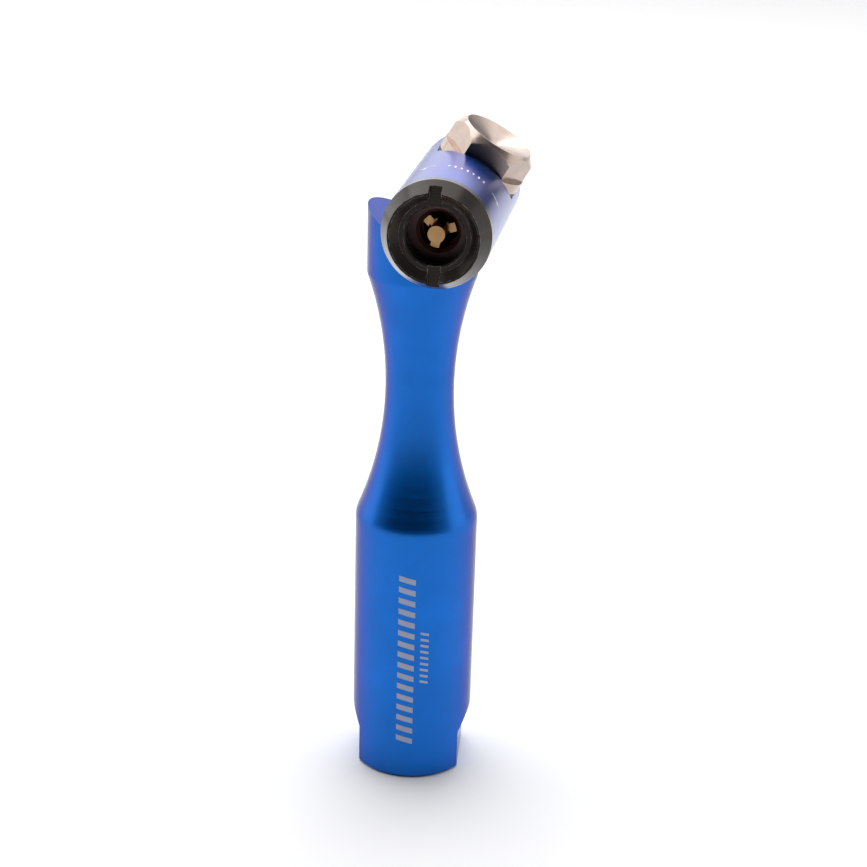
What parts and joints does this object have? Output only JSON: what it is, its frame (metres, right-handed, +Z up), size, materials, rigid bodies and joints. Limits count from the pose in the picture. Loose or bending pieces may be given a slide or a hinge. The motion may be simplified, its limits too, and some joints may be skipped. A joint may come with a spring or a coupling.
{
  "type": "tyre air chuck",
  "caption": "Hand-held tyre air chuck: a waisted handle with a threaded inlet and a short head that swivels a full turn about a tilted hollow bolt.",
  "frame": {"origin": "centre of the inlet face, at the foot of the handle", "axes": "+Z up the handle; the pivot bolt leans from +Z towards +X; at rest the head points along -Y"},
  "size_m": [0.0249, 0.0334, 0.1057],
  "materials": {
    "blue_anodised": "satin blue anodised",
    "black_anodised": "black anodised",
    "nickel_plate": "turned and nickel plated",
    "turned_brass": "turned",
    "spring_steel": "bright drawn",
    "acetal": "machined",
    "red_rubber": "moulded",
    "black_rubber": "moulded"
  },
  "bodies": {
    "handle_group": {"handle": "blue_anodised", "inlet_screen": "spring_steel", "screen_ring": "turned_brass", "pivot_bolt": "nickel_plate", "bolt_seal_ring": "black_rubber", "lower_thrust_washer": "acetal", "upper_thrust_washer": "acetal", "lower_pivot_seal": "black_rubber", "upper_pivot_seal": "black_rubber"},
    "head_group": {"head_body": "blue_anodised", "collar": "black_anodised", "collar_seal": "black_rubber", "valve_gasket": "red_rubber", "gasket_washer": "turned_brass", "valve_seat": "turned_brass", "seat_gasket": "black_rubber", "return_spring": "spring_steel"},
    "plunger_group": {"plunger": "turned_brass", "plunger_seal": "black_rubber", "plunger_washer": "turned_brass", "plunger_clip": "spring_steel"}
  },
  "joints": [
    {"name": "head_swivel", "type": "hinge", "parent": "handle_group", "child": "head_group", "pos_m": [0.00545, 0, 0.09404], "axis": [0.5, 0, 0.866], "continuous": true},
    {"name": "plunger_slide", "type": "slide", "parent": "head_group", "child": "plunger_group", "axis": [0, 1, 0], "range_m": [0, 0.0018], "stiffness_N_per_m": 1000, "springref_m": -0.002, "deforming": ["return_spring"]}
  ]
}
